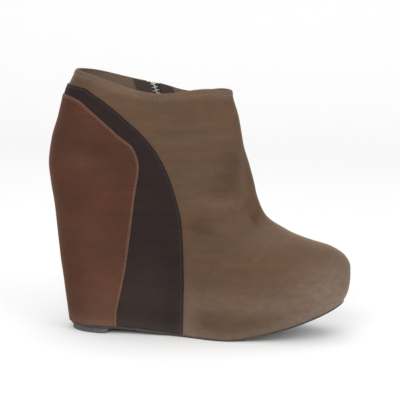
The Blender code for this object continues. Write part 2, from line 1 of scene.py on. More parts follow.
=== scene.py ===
"""Looks of a colour-blocked platform wedge bootie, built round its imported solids.

Metres, +Z up.  +X points to the toe and -Y to the outer side of the foot, which faces the camera.  The form
is the skin of rings that the solids were made from, on a finer grid and with the creases of a worn shoe in
it.  Panels, lining, stitches, zip and soles are worked out from that skin.
"""

import math

import bmesh
import bpy
import numpy as np
from mathutils import Matrix, Vector, kdtree, noise


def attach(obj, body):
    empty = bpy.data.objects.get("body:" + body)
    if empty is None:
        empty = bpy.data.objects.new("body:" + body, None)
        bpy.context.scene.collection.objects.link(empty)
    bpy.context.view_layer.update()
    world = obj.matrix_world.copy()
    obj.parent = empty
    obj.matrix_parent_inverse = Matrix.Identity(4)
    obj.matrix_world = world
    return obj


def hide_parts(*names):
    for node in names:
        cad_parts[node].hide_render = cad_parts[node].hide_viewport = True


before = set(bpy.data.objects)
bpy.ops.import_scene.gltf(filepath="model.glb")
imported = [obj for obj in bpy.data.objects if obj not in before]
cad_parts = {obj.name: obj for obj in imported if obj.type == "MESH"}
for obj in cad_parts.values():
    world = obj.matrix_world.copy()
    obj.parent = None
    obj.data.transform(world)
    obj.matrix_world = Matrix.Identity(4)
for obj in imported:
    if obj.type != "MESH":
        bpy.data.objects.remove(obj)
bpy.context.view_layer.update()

# Form of the upper
UPPER_LENGTH = 0.2374
COLLAR_BACK = 0.2044
COLLAR_FRONT = 0.1914
OUTER_DIP = 0.0090
INNER_DIP = 0.0043
INNER_DROP = 0.0046
OUTER_DIP_END = 0.90
INNER_DROP_START = 0.50
HEEL_HALF_WIDTH = 0.0315
WAIST_HALF_WIDTH = 0.0310
BALL_HALF_WIDTH = 0.0435
TOE_SWING = 0.0040
WALL = 0.0018

# Layers under and in the upper
GAP = 0.0003
FIT = 0.0010
LIFT_THICKNESS = 0.0039
LIFT_LENGTH = 0.0307
LIFT_BEVEL = 0.0038
LIFT_INSET = 0.0012
OUTSOLE_THICKNESS = 0.0014
OUTSOLE_LIP = 0.0004
BREAST_LENGTH = 0.0640
BREAST_START = 0.0340
FLAT_END = 0.1220
TOE_SPRING = 0.0268
SPRING_POWER = 1.40
HEEL_SEAT = 0.1030
PLATFORM = 0.0375
TOE_BED_RISE = 0.0035
BED_CUP = 0.0015
INSOLE_THICKNESS = 0.0025

# Panels laid over the upper
HEEL_PANEL_THICKNESS = 0.0017
STRIPE_THICKNESS = 0.0009
PANEL_FOOT = 0.04

# Zip on the inner side
ZIP_HEAD_X = -0.0408
ZIP_FOOT_X = -0.0030
ZIP_FOOT_Z = 0.1050
SLOT_WIDTH = 0.0094
SLOT_REACH = 0.0054
CHAIN_WIDTH = 0.0050
CHAIN_PROUD = 0.0005
CHAIN_DROP = 0.0024                 # from the rim to the first tooth
TOOTH_COUNT = 66
TOOTH_THICKNESS = 0.0019
TAPE_HALF_WIDTH = 0.0140
TAPE_THICKNESS = 0.0005
TAPE_TOP = 0.0005                   # from the rim to the tapes' upper ends
TAPE_TAIL = 0.0050                  # how far they run on under the lining past the slot
TAPE_IN_SLOT = 0.0006               # how deep they lie under the skin between the teeth
TAPE_UNDER_WALL = 0.0006
TAPE_MIDDLE = 0.0003                # half the split between the two tapes
TAPE_RAISED = 0.0028                # half width that is raised into the slot
TAPE_STEP = 0.0016
TAPE_END = 0.0050                   # from the lower end of the slot, where the tapes go under the lining
TAPE_END_STEP = 0.0030
STOP_SIZE = (0.0019, 0.0017)        # along and across
STOP_ACROSS = 0.0012
STOP_PAST_TEETH = 0.0016
END_STOP_SIZE = (0.0028, 0.0052)
STOP_PROUD = 0.0003                 # over the teeth, and as much under them

# Rounding of small edges
TOOTH_EDGE = 0.00014
STOP_EDGE = 0.00035
SLIDER_EDGE = 0.00015
PULL_EDGE = 0.00020
LIFT_EDGE = 0.0004
FOOTBED_ROLL = 0.0012
SOLE_ROLL = 0.0007

# One row for each ring, from the bottom edge to the rim, as shares of the sizes above
RING_COLUMNS = ("back", "back_rise", "front", "front_rise", "heel", "waist_out", "waist_in", "ball_out",
                "ball_in", "round_back", "round_front", "swing", "follow", "dip")
RINGS = np.array((
    (0.0790, 0.000, 0.9815, 0.000, 0.780, 0.840, 0.680, 0.928, 0.852, 0.125, 0.280, 1.00, 1.00, 0.00),
    (0.0753, 0.028, 0.9950, 0.038, 0.803, 0.870, 0.710, 0.964, 0.886, 0.125, 0.280, 1.00, 0.95, 0.00),
    (0.0658, 0.098, 1.0015, 0.104, 0.835, 0.905, 0.760, 1.005, 0.926, 0.127, 0.280, 1.00, 0.85, 0.00),
    (0.0559, 0.174, 1.0000, 0.160, 0.867, 0.935, 0.806, 1.020, 0.948, 0.130, 0.280, 1.00, 0.65, 0.00),
    (0.0458, 0.244, 0.9831, 0.209, 0.895, 0.968, 0.855, 1.004, 0.941, 0.135, 0.285, 1.00, 0.42, 0.00),
    (0.0396, 0.304, 0.9406, 0.250, 0.921, 0.994, 0.903, 0.950, 0.901, 0.145, 0.300, 0.95, 0.20, 0.00),
    (0.0323, 0.369, 0.8644, 0.282, 0.946, 1.010, 0.945, 0.868, 0.832, 0.155, 0.330, 0.80, 0.05, 0.00),
    (0.0254, 0.430, 0.7754, 0.334, 0.968, 1.010, 0.968, 0.775, 0.751, 0.165, 0.360, 0.60, 0.00, 0.00),
    (0.0177, 0.490, 0.7095, 0.403, 0.984, 1.000, 0.977, 0.694, 0.677, 0.175, 0.370, 0.45, 0.00, 0.00),
    (0.0067, 0.560, 0.6839, 0.479, 1.000, 0.990, 0.974, 0.617, 0.628, 0.185, 0.345, 0.35, 0.00, 0.00),
    (0.0000, 0.631, 0.6592, 0.596, 1.000, 0.974, 0.961, 0.566, 0.577, 0.195, 0.325, 0.25, 0.00, 0.00),
    (0.0081, 0.727, 0.6305, 0.743, 0.978, 0.948, 0.942, 0.524, 0.534, 0.200, 0.310, 0.15, 0.00, 0.12),
    (0.0270, 0.812, 0.6110, 0.877, 0.927, 0.916, 0.916, 0.501, 0.511, 0.205, 0.300, 0.10, 0.00, 0.40),
    (0.0450, 0.914, 0.5926, 0.957, 0.870, 0.884, 0.884, 0.488, 0.497, 0.212, 0.300, 0.05, 0.00, 0.75),
    (0.0750, 1.000, 0.5854, 1.000, 0.825, 0.871, 0.871, 0.494, 0.501, 0.215, 0.300, 0.00, 0.00, 1.00),
))
RIM = len(RINGS) - 1
HEEL_AT = 0.20
WAIST_AT = 0.35
BALL_OUT_AT = 0.57
BALL_IN_AT = 0.72

# Height of the footbed between platform and heel seat, against shares of the upper's length
BED = np.array((
    (0.00, 1.020), (0.14, 1.000), (0.24, 0.915), (0.34, 0.725), (0.45, 0.450), (0.56, 0.195),
    (0.65, 0.055), (0.75, 0.000), (1.00, 0.000),
))

# Edges of the panels seen from the side: shares of the upper's length from its back, and of the back height
HEEL_EDGE = np.array((
    (0.233, -0.046), (0.232, 0.071), (0.242, 0.151), (0.258, 0.255), (0.272, 0.401), (0.283, 0.547),
    (0.292, 0.639), (0.275, 0.711), (0.215, 0.773), (0.132, 0.855), (0.091, 0.891), (0.047, 0.903),
    (-0.063, 0.903),
))
STRIPE_EDGE = np.array((
    (0.451, -0.042), (0.449, 0.108), (0.449, 0.178), (0.444, 0.322), (0.434, 0.443), (0.406, 0.558),
    (0.385, 0.620), (0.359, 0.677), (0.328, 0.728), (0.286, 0.780), (0.197, 0.868), (0.144, 0.911),
    (0.106, 0.935), (0.061, 0.940), (-0.063, 0.939),
))

PROUD_BACK = GAP + HEEL_PANEL_THICKNESS
BACK_X = -(UPPER_LENGTH - PROUD_BACK) / 2
EDGE_BACK_X = BACK_X + UPPER_LENGTH * RINGS[0, 0]
TREAD_TO_EDGE = OUTSOLE_THICKNESS + GAP

# Creases, as lines seen from the side: sides is -1 for the outer, 1 for the inner and 0 for both.  Places
# are shares of the upper's length from its back, and of the back height.  bow, width and depth are in
# metres, and a negative depth is a trough: sides, from along and up, to along and up, bow, width, depth.
CREASES = np.array((
    (-1, 0.650, 0.530, 0.688, 0.437, -0.002, 0.0048, -0.0019),
    (-1, 0.600, 0.520, 0.700, 0.425, 0.003, 0.0045, -0.0010),
    (-1, 0.510, 0.590, 0.665, 0.470, 0.005, 0.0080, 0.0018),
    (-1, 0.490, 0.520, 0.640, 0.415, 0.004, 0.0075, -0.0012),
    (0, 0.625, 0.720, 0.668, 0.520, 0.002, 0.0055, 0.0006),
    (0, 0.680, 0.500, 0.800, 0.360, 0.004, 0.0060, 0.0006),
    (1, 0.600, 0.580, 0.710, 0.450, 0.003, 0.0045, -0.0011),
    (1, 0.560, 0.570, 0.680, 0.455, -0.002, 0.0050, -0.0007),
    (1, 0.520, 0.500, 0.640, 0.400, -0.003, 0.0060, -0.0006),
    (-1, 0.700, 0.330, 0.860, 0.255, 0.003, 0.0070, -0.0004),
    (0, 0.060, 0.960, 0.200, 0.900, 0.001, 0.0028, -0.0004),
    (0, 0.020, 0.870, 0.150, 0.840, 0.001, 0.0040, -0.0004),
    (-1, 0.080, 0.560, 0.200, 0.640, 0.002, 0.0080, -0.0004),
    (-1, 0.330, 0.610, 0.520, 0.690, 0.003, 0.0080, -0.0005),
    (-1, 0.400, 0.745, 0.540, 0.760, 0.001, 0.0050, 0.0003),
))
UNEVEN_HEIGHT = 0.00035
UNEVEN_PER_METRE = 38

# Rims, folds and seams
FOLD_DEPTH = 0.0040         # collar's turned edge, down to its stitches
FOLD_PROUD = 0.00030
FOLD_TONE = 0.10
FOLD_DUST = 0.16
OVERHANG = 0.0008           # suede wrapped down over the outsole's upper edge
OVERHANG_REACH = 0.0040
FOOT_ROLL = 0.0012          # up to where the bottom edge is rounded in
FOOT_ROLL_DEPTH = 0.0004
PANEL_ROLL = 0.0013
STRIPE_ROLL = 0.0008
PANEL_UNDERSIDE = 0.0001    # over the skin
FOOT_SHARE = 0.35           # share of a panel's thickness that is left at its foot
PANEL_STITCH = 0.0021       # from the heel panel's edge to its stitches
STRIPE_STITCH = 0.0018
SEAM_DEPTH = 0.00022
SEAM_WIDTH = 0.00055
STITCH_PITCH = 0.0031
STITCH_LENGTH = 0.0024
STITCH_RADIUS = 0.00019
STITCH_PROUD = 0.0001       # of the collar's stitches, over the skin
ZIP_STITCH = 0.0022         # from the slot's edge to its stitches
ZIP_STITCH_PROUD = 0.0002
STITCH_CLEAR_TURN = 0.19    # from the zip to the ends of the collar's stitches, in radians

# Soft marks: sides, place along and up and reach along and up as shares, how much lighter, and how dusty
MARKS = np.array((
    (0, 0.980, 0.200, 0.120, 0.140, 0.06, 0.40),
    (0, 0.860, 0.160, 0.120, 0.100, 0.02, 0.22),
    (-1, 0.700, 0.140, 0.110, 0.050, 0.07, 0.19),
    (-1, 0.530, 0.150, 0.060, 0.045, 0.10, 0.16),
    (0, 0.470, 0.060, 0.035, 0.110, 0.04, 0.22),
    (0, 0.760, 0.400, 0.110, 0.050, 0.09, 0.15),
    (-1, 0.540, 0.320, 0.055, 0.080, -0.10, 0.00),
    # Painted shade at the throat's dent on the outer side.
    (-1, 0.655, 0.415, 0.040, 0.022, -0.08, 0.00),
    (-1, 0.490, 0.435, 0.050, 0.050, -0.26, 0.00),
    # Painted shade in the crease at the throat on the outer side.
    (-1, 0.676, 0.455, 0.016, 0.028, -0.34, 0.00),
    (-1, 0.585, 0.615, 0.050, 0.090, -0.22, 0.00),
    # Painted highlight on the ridge of the fold that runs down to the throat, with a little dust.
    (-1, 0.560, 0.515, 0.055, 0.022, 0.16, 0.07),
    # Painted highlight in a thin band along the shaft's front edge, with a little dust.
    (-1, 0.630, 0.660, 0.014, 0.110, 0.12, 0.06),
    # Painted highlight along the ridge of a crease high on the shaft, this row and the next, with a little
    # dust.
    (-1, 0.400, 0.745, 0.060, 0.012, 0.08, 0.04),
    (-1, 0.540, 0.765, 0.070, 0.014, 0.07, 0.03),
    (-1, 0.225, 0.935, 0.080, 0.025, 0.10, 0.04),
    (-1, 0.420, 0.860, 0.060, 0.040, -0.06, 0.00),
    (0, 0.260, 0.150, 0.150, 0.150, 0.36, 0.03),
    (0, 0.355, 0.150, 0.070, 0.120, 0.14, 0.03),
    (-1, 0.172, 0.710, 0.055, 0.060, -0.14, 0.00),
    (-1, 0.240, 0.560, 0.030, 0.100, -0.08, 0.00),
    (-1, 0.110, 0.660, 0.060, 0.030, 0.12, 0.03),
    (-1, 0.125, 0.400, 0.070, 0.060, 0.06, 0.02),
    (-1, 0.170, 0.110, 0.080, 0.060, 0.06, 0.05),
    (-1, 0.883, 0.282, 0.012, 0.0025, 0.30, 0.10),
    (-1, 0.680, 0.321, 0.012, 0.0035, 0.20, 0.06),
    (-1, 0.826, 0.226, 0.010, 0.0040, 0.22, 0.08),
    (-1, 0.520, 0.285, 0.012, 0.0040, 0.16, 0.04),
    (-1, 0.760, 0.185, 0.014, 0.0030, 0.14, 0.04),
    (-1, 0.610, 0.240, 0.009, 0.0035, 0.12, 0.03),
    (1, 0.800, 0.240, 0.020, 0.0050, 0.16, 0.06),
    (1, 0.620, 0.200, 0.012, 0.0060, 0.14, 0.04),
))
FOOT_DUST = 0.30
FOOT_DUST_REACH = 0.0070

# Fineness
AROUND = 400
BODY_ROWS = 128
FOLD_STEP = 0.0004
FOLD_REACH = 0.0085
RIM_STEPS = 8
LINING_ROWS = 40
PANEL_ROWS = 200
EDGE_STEPS = 700
SKIN_STEP = 0.002
LINE_STEP = 0.0005
HALVINGS = 34

# Camera, as the photograph was taken
CAMERA_PLACE = (-0.00075, -1.396, 0.3127)
CAMERA_PITCH = math.radians(81.5)
CAMERA_ROLL = math.radians(1.8)
CAMERA_LENS = 162
SENSOR = 36

# Square lights: name, place, size and watts
LIGHTS = (
    ("key", (-0.6, -1.9, 1.2), 1.5, 30.0),
    ("fill", (1.4, -1.5, 0.8), 1.6, 20.0),
    ("top", (0.1, 0.4, 1.9), 1.6, 7.0),
)
LIGHTS_AIM = (0, 0, 0.09)


def smooth(stations, values, at):
    """Smooth curve through the values that never overshoots them, held level past its ends."""
    run = np.diff(stations)
    rise = np.diff(values) / run
    same_way = rise[:-1] * rise[1:] > 0
    total = np.where(same_way, rise[:-1] + rise[1:], 1.0)
    slope = np.concatenate(([rise[0]], np.where(same_way, 2 * rise[:-1] * rise[1:] / total, 0), [rise[-1]]))
    at = np.clip(at, stations[0], stations[-1])
    left = np.clip(np.searchsorted(stations, at, side="right") - 1, 0, len(run) - 1)
    t = (at - stations[left]) / run[left]
    return (values[left] * (2 * t**3 - 3 * t**2 + 1) + values[left + 1] * (3 * t**2 - 2 * t**3)
            + run[left] * (slope[left] * (t**3 - 2 * t**2 + t) + slope[left + 1] * (t**3 - t**2)))


def ease(t):
    """0 up to t = 0 and 1 from t = 1, with a soft rise between."""
    t = np.clip(t, 0, 1)
    return t * t * (3 - 2 * t)


def unit(vectors):
    return vectors / np.linalg.norm(vectors, axis=-1, keepdims=True)


def band(values, middle, width):
    """1 where the values are at the middle, falling off softly on both sides."""
    return np.exp(-(((values - middle) / width) ** 2))


def tread_height(x):
    """Floor to the underside of the outsole."""
    along = x - EDGE_BACK_X
    over_lift = (LIFT_THICKNESS + GAP) * (1 - ease((along - BREAST_START) / BREAST_LENGTH))
    spring_length = UPPER_LENGTH * RINGS[0, 2] + BACK_X - EDGE_BACK_X - FLAT_END
    return over_lift + TOE_SPRING * (np.maximum(along - FLAT_END, 0) / spring_length) ** SPRING_POWER


def edge_height(x):
    """Floor to the upper's bottom edge."""
    return tread_height(x) + TREAD_TO_EDGE


def bed_height(x):
    """Floor to the footbed on top of the core, along its middle."""
    share = (x - BACK_X) / UPPER_LENGTH
    toe_rise = TOE_BED_RISE * np.maximum(share - BED[-2, 0], 0) / (1 - BED[-2, 0])
    return PLATFORM + (HEEL_SEAT - PLATFORM) * smooth(BED[:, 0], BED[:, 1], share) + toe_rise


def ring_value(name, level):
    """A column of the table of rings, read at any level."""
    return smooth(np.arange(RIM + 1.0), RINGS[:, RING_COLUMNS.index(name)], level)


def rounded(t):
    """Quarter of an ellipse: 0 at t = 0 and 1 from t = 1."""
    return np.sqrt(1 - (1 - np.clip(t, 0, 1)) ** 2)


def half_width(level, share, outer):
    """Half the width of a ring on its outer or inner side, before its ends are rounded off."""
    heel = HEEL_HALF_WIDTH * ring_value("heel", level)
    waist = np.where(outer, ring_value("waist_out", level), ring_value("waist_in", level)) * WAIST_HALF_WIDTH
    ball = np.where(outer, ring_value("ball_out", level), ring_value("ball_in", level)) * BALL_HALF_WIDTH
    ball_at = np.where(outer, BALL_OUT_AT, BALL_IN_AT)
    to_waist = ease((share - HEEL_AT) / (WAIST_AT - HEEL_AT))
    to_ball = ease((share - WAIST_AT) / (ball_at - WAIST_AT))
    return heel + (waist - heel) * to_waist + (ball - waist) * to_ball


def rim_sag(share, outer):
    """How far the rim hangs under the straight line from its back to its front."""
    outer_turn = np.where(share < 0.5, share, 0.5 + 0.5 * (share - 0.5) / (OUTER_DIP_END - 0.5))
    drop_turn = np.clip((share - INNER_DROP_START) / (1 - INNER_DROP_START), 0, 1)
    outer_sag = OUTER_DIP * np.sin(math.pi * np.minimum(outer_turn, 1)) ** 2
    inner_sag = INNER_DIP * np.sin(math.pi * share) ** 2 + INNER_DROP * np.sin(math.pi * drop_turn) ** 2
    return np.where(outer, outer_sag, inner_sag)


def skin(level, angle):
    """Point on the outside of the upper.  Angle 0 is the back, a quarter turn the outer side, pi the toe."""
    level, angle = np.broadcast_arrays(np.asarray(level, float), np.asarray(angle, float))
    share = (1 - np.cos(angle)) / 2
    outer = np.sin(angle) >= 0
    start = BACK_X + UPPER_LENGTH * ring_value("back", level)
    end = BACK_X + UPPER_LENGTH * ring_value("front", level)
    x = start + (end - start) * share
    heel_edge = edge_height(EDGE_BACK_X)
    toe_edge = edge_height(BACK_X + UPPER_LENGTH * RINGS[0, 2])
    back_z = heel_edge + (COLLAR_BACK - heel_edge) * ring_value("back_rise", level)
    front_z = toe_edge + (COLLAR_FRONT - toe_edge) * ring_value("front_rise", level)
    chord = edge_height(start) + (edge_height(end) - edge_height(start)) * share
    sag = ring_value("dip", level) * rim_sag(share, outer)
    z = back_z + (front_z - back_z) * share + ring_value("follow", level) * (edge_height(x) - chord) - sag
    ends = rounded(share / ring_value("round_back", level))
    ends = ends * rounded((1 - share) / ring_value("round_front", level))
    middle = TOE_SWING * ring_value("swing", level) * share**2
    y = middle + np.where(outer, -1, 1) * half_width(level, share, outer) * ends
    return np.stack((x, y, z), axis=-1)


def skin_normal(level, angle):
    """Direction straight out of the skin."""
    round_it = skin(level, angle + SKIN_STEP) - skin(level, angle - SKIN_STEP)
    up_it = skin(np.minimum(level + SKIN_STEP, RIM), angle) - skin(np.maximum(level - SKIN_STEP, 0), angle)
    return unit(np.cross(round_it, up_it))


def on_side(sides, level, angle):
    """1 on the sides that a crease or mark is on, fading out at the shoe's middle line."""
    if sides == 0:
        return np.ones(np.broadcast(level, angle).shape)
    return ease(-sides * np.sin(angle) * 3)


def creases(level, angle, points):
    """How far the creases move the skin outwards."""
    moved = np.zeros(points.shape[:-1])
    for sides, from_along, from_up, to_along, to_up, bow, width, depth in CREASES:
        start = np.array((BACK_X + UPPER_LENGTH * from_along, COLLAR_BACK * from_up))
        end = np.array((BACK_X + UPPER_LENGTH * to_along, COLLAR_BACK * to_up))
        length = np.linalg.norm(end - start)
        way = (end - start) / length
        x = points[..., 0] - start[0]
        z = points[..., 2] - start[1]
        t = (x * way[0] + z * way[1]) / length
        inside = np.clip(t, 0, 1)
        off = z * way[0] - x * way[1] - bow * 4 * inside * (1 - inside)
        past = np.abs(t - inside) * length
        line = band(off, 0, width) - 0.35 * band(np.abs(off), 1.7 * width, width)
        fade = ease(t / 0.35) * ease((1 - t) / 0.35) * band(past, 0, width)
        moved += depth * line * fade * on_side(sides, level, angle)
    return moved


def unevenness(points):
    """Gentle swell of leather that isn't stretched quite evenly, from -1 to 1."""
    flat = points.reshape(-1, 3) * UNEVEN_PER_METRE
    return np.array([noise.noise(point) for point in flat]).reshape(points.shape[:-1])


def off_skin(level, angle, proud, worn=True):
    """Point at a distance outside the skin, with the creases of the worn shoe where worn is true."""
    level, angle = np.broadcast_arrays(np.asarray(level, float), np.asarray(angle, float))
    points = skin(level, angle)
    height = np.broadcast_to(proud, level.shape)
    if worn:
        height = height + creases(level, angle, points) + UNEVEN_HEIGHT * unevenness(points)
    return points + height[..., None] * skin_normal(level, angle)


def marks(level, angle, points):
    """How much lighter each point is, and how dusty."""
    tone_and_painted_light = np.zeros(points.shape[:-1])
    foot = points[..., 2] - edge_height(points[..., 0])
    dust = FOOT_DUST * band(foot, 0, FOOT_DUST_REACH)
    along = (points[..., 0] - BACK_X) / UPPER_LENGTH
    up = points[..., 2] / COLLAR_BACK
    for sides, mark_along, mark_up, reach_along, reach_up, lighter, dusty in MARKS:
        there = band(along, mark_along, reach_along) * band(up, mark_up, reach_up)
        there *= on_side(sides, level, angle)
        tone_and_painted_light += lighter * there
        dust += dusty * there
    return tone_and_painted_light, dust


def level_where(test, shape):
    """The level at which the test turns true, by halving, one for each place in shape."""
    low = np.zeros(shape)
    high = np.full(shape, float(RIM))
    for _ in range(HALVINGS):
        middle = (low + high) / 2
        above = test(middle)
        high = np.where(above, middle, high)
        low = np.where(above, low, middle)
    return (low + high) / 2


def side_angle(level, x, outer):
    """Angle of the point at x on a ring's outer or inner side."""
    start = BACK_X + UPPER_LENGTH * ring_value("back", level)
    end = BACK_X + UPPER_LENGTH * ring_value("front", level)
    turn = np.arccos(1 - 2 * np.clip((x - start) / (end - start), 0, 1))
    return turn if outer else -turn


def rim_pace(angle):
    """Metres of skin for each level, just under the rim."""
    return np.linalg.norm(skin(RIM, angle) - skin(RIM - 0.5, angle), axis=-1) / 0.5


def grid_faces(rows, columns, closed_rows=False, closed_columns=False):
    """Quads over a grid of points that are numbered row by row."""
    i = np.arange(rows if closed_rows else rows - 1)
    j = np.arange(columns if closed_columns else columns - 1)
    i, j = np.meshgrid(i, j, indexing="ij")
    after_i = (i + 1) % rows
    after_j = (j + 1) % columns
    quads = (i * columns + j, i * columns + after_j, after_i * columns + after_j, after_i * columns + j)
    return np.stack(quads, axis=-1).reshape(-1, 4)


def add_object(name, data):
    made = bpy.data.objects.new(name, data)
    bpy.context.scene.collection.objects.link(made)
    return made


def build(name, points, faces, material, layers=None, slots=None, sharp=50):
    """Smooth piece that rides on the shoe, with tone, painted shade and painted highlights and dust for each
    point and a slot for each face.
    """
    mesh = bpy.data.meshes.new(name)
    mesh.from_pydata(points.reshape(-1, 3), [], [list(face) for face in faces])
    for surface in material if isinstance(material, (list, tuple)) else [material]:
        mesh.materials.append(surface)
    if slots is not None:
        mesh.polygons.foreach_set("material_index", slots)
    for key, values in (layers or {}).items():
        layer = mesh.attributes.new(key, "FLOAT", "POINT")
        layer.data.foreach_set("value", values.reshape(-1).astype(np.float32))
    shape = bmesh.new()
    shape.from_mesh(mesh)
    bmesh.ops.remove_doubles(shape, verts=shape.verts, dist=0.000002)
    bmesh.ops.recalc_face_normals(shape, faces=shape.faces)
    shape.to_mesh(mesh)
    shape.free()
    mesh.shade_smooth()
    mesh.set_sharp_from_angle(angle=math.radians(sharp))
    piece = add_object(name, mesh)
    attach(piece, "shoe")
    return piece


def shell_faces(rows, columns):
    """Faces of a closed piece between two grids of points, the second numbered on from the first."""
    faces = grid_faces(rows, columns)
    count = rows * columns
    rim = np.concatenate((
        np.arange(columns), np.arange(1, rows) * columns + columns - 1,
        (rows - 1) * columns + np.arange(columns - 2, -1, -1), np.arange(rows - 2, 0, -1) * columns,
    ))
    after = np.roll(rim, -1)
    sides = np.stack((rim, after, after + count, rim + count), axis=-1)
    return np.concatenate((faces, faces[:, ::-1] + count, sides))


def shell(name, outer, inner, material, layers=None):
    """Closed piece between two grids of points."""
    faces = shell_faces(*outer.shape[:2])
    doubled = {key: np.concatenate((values, values)) for key, values in (layers or {}).items()}
    return build(name, np.concatenate((outer.reshape(-1, 3), inner.reshape(-1, 3))), faces, material, doubled)


def slot_cutter(material):
    """Closed piece that cuts the zip's slot out of the upper."""
    runs = np.linspace(-SLOT_WIDTH, zip_length(), 40)
    acrosses = np.array((-SLOT_WIDTH / 2, SLOT_WIDTH / 2))
    outer, inner = (zip_grid(runs, acrosses, proud) for proud in (SLOT_REACH, -SLOT_REACH))
    return shell("slot", outer, inner, material)


def make_upper(suede, lining):
    """Upper and its lining in one shell, rolled over at the rim and open for the zip."""
    angle = np.arange(AROUND) * 2 * math.pi / AROUND
    pace = rim_pace(angle)
    fold_runs = np.arange(FOLD_REACH, WALL / 2, -FOLD_STEP)
    body = np.linspace(0, 1, BODY_ROWS, endpoint=False)[:, None] * (RIM - FOLD_REACH / pace)
    level = np.concatenate((body, RIM - fold_runs[:, None] / pace))
    run = (RIM - level) * pace
    outer_points = skin(level, angle)
    foot = outer_points[..., 2] - edge_height(outer_points[..., 0])
    fold = FOLD_PROUD * (1 - ease((run - FOLD_DEPTH + SEAM_WIDTH) / (2 * SEAM_WIDTH)))
    fold -= SEAM_DEPTH * band(run, FOLD_DEPTH, SEAM_WIDTH)
    fold -= FOOT_ROLL_DEPTH * (1 - rounded(foot / FOOT_ROLL))
    outer = off_skin(level, angle, fold)
    outer[..., 2] -= OVERHANG * (1 - ease(foot / OVERHANG_REACH))
    tone_and_painted_light, dust = marks(level, angle, outer_points)
    # Paler at the rim, and painted shade in the groove of the seam under the turned edge.
    tone_and_painted_light += FOLD_TONE * band(run, 0, 0.0016) - 0.22 * band(run, FOLD_DEPTH, 0.0006)
    dust += FOLD_DUST * (1 - ease((run - FOLD_DEPTH) / 0.0050))

    turn = np.linspace(0, math.pi, RIM_STEPS + 2)[1:-1, None]
    middle = off_skin(RIM, angle, FOLD_PROUD / 2 - WALL / 2)
    normal = skin_normal(RIM, angle)
    radius = (WALL + FOLD_PROUD) / 2
    rim = middle + radius * np.cos(turn)[..., None] * normal
    rim = rim + (radius * (np.sin(turn) - 1))[..., None] * np.array((0, 0, 1))

    inner_runs = np.linspace(WALL / 2, FOLD_REACH, 12)[:, None]
    inner_body = np.linspace(1, 0, LINING_ROWS)[:, None] * (RIM - 1.2 * FOLD_REACH / pace)
    inner_level = np.concatenate((RIM - inner_runs / pace, inner_body))
    inner = off_skin(inner_level, angle, -WALL)

    points = np.concatenate((outer, rim, inner))
    plain = np.zeros(inner.shape[:2])
    layers = {"tone_and_painted_light": np.concatenate((tone_and_painted_light, np.full(rim.shape[:2], FOLD_TONE), plain)),
              "dust": np.concatenate((dust, np.full(rim.shape[:2], FOLD_DUST), plain))}
    faces = grid_faces(len(points), AROUND, closed_rows=True, closed_columns=True)
    row = np.repeat(np.arange(len(points)), AROUND)
    slots = (row >= len(outer) + RIM_STEPS - 1).astype(np.int32)
    upper = build("upper_suede", points, faces, [suede, lining], layers, slots)
    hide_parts("upper")

    cutter = slot_cutter(suede)
    cut = upper.modifiers.new("slot", "BOOLEAN")
    cut.operation = "DIFFERENCE"
    cut.object = cutter
    cut.solver = "MANIFOLD"
    apply_modifiers(upper)
    bpy.data.objects.remove(cutter)


def break_edges(piece, width, segments):
    """Rounds the piece's sharp edges off a little."""
    bevel = piece.modifiers.new("edges", "BEVEL")
    bevel.width = width
    bevel.segments = segments


def apply_modifiers(piece):
    """Makes the result of a piece's modifiers its own mesh."""
    graph = bpy.context.evaluated_depsgraph_get()
    done = bpy.data.meshes.new_from_object(piece.evaluated_get(graph))
    piece.modifiers.clear()
    piece.data = done


def distances_along(line):
    return np.concatenate(([0], np.cumsum(np.linalg.norm(np.diff(line, axis=0), axis=1))))


def edge_path(rows, outer, count, shift=0.0):
    """Level and angle along a panel's edge on one side, from the sole up to the back's middle."""
    stations = np.arange(len(rows), dtype=float)
    fine = np.linspace(0, len(rows) - 1, 900)
    x = BACK_X + UPPER_LENGTH * smooth(stations, rows[:, 0], fine)
    z = COLLAR_BACK * smooth(stations, rows[:, 1], fine)
    along = unit(np.stack((np.gradient(x), np.gradient(z)), axis=1))
    x, z = x + shift * along[:, 1], z - shift * along[:, 0]
    level = level_where(lambda middle: skin(middle, side_angle(middle, x, outer))[..., 2] > z, len(x))
    angle = side_angle(level, x, outer)
    first = np.argmax(level > PANEL_FOOT)
    last = np.argmax((np.abs(angle) < 1e-6) & (level > RIM / 2)) + 1
    level, angle = level[first:last], angle[first:last]
    level[0] = PANEL_FOOT
    length = distances_along(skin(level, angle))
    at = np.linspace(0, length[-1], count)
    return np.interp(at, length, level), np.interp(at, length, angle)


def distance_to(points, line):
    """Distance from each point to the nearest corner of a finely divided line."""
    tree = kdtree.KDTree(len(line))
    for number, corner in enumerate(line):
        tree.insert(corner, number)
    tree.balance()
    return np.array([tree.find(point)[2] for point in points.reshape(-1, 3)]).reshape(points.shape[:-1])


def spread(near, far, fine_steps, coarse_steps):
    """Places from 0 to 1, close together up to near and evenly spaced from there on."""
    return np.concatenate((near / far * np.linspace(0, 1, fine_steps, endpoint=False),
                           np.linspace(near / far, 1, coarse_steps)))


def edge_distance(points, rows):
    """Distance from each point to a panel's front edge, which runs down both sides of the shoe."""
    edges = [skin(*edge_path(rows, outer, EDGE_STEPS)) for outer in (True, False)]
    return distance_to(points, np.concatenate(edges))


def lay_panel(level, angle, inside, thickness, roll, stitch, seam_depth):
    """Outside and underside of a panel rolled at its front edge, sewn down, and thinner at its foot."""
    full = FOOT_SHARE + (1 - FOOT_SHARE) * rounded((level / PANEL_FOOT - 1) / 1.5)
    proud = GAP + thickness * rounded(inside / roll) * full
    proud -= seam_depth * band(inside, stitch, SEAM_WIDTH)
    return off_skin(level, angle, proud), off_skin(level, angle, PANEL_UNDERSIDE)


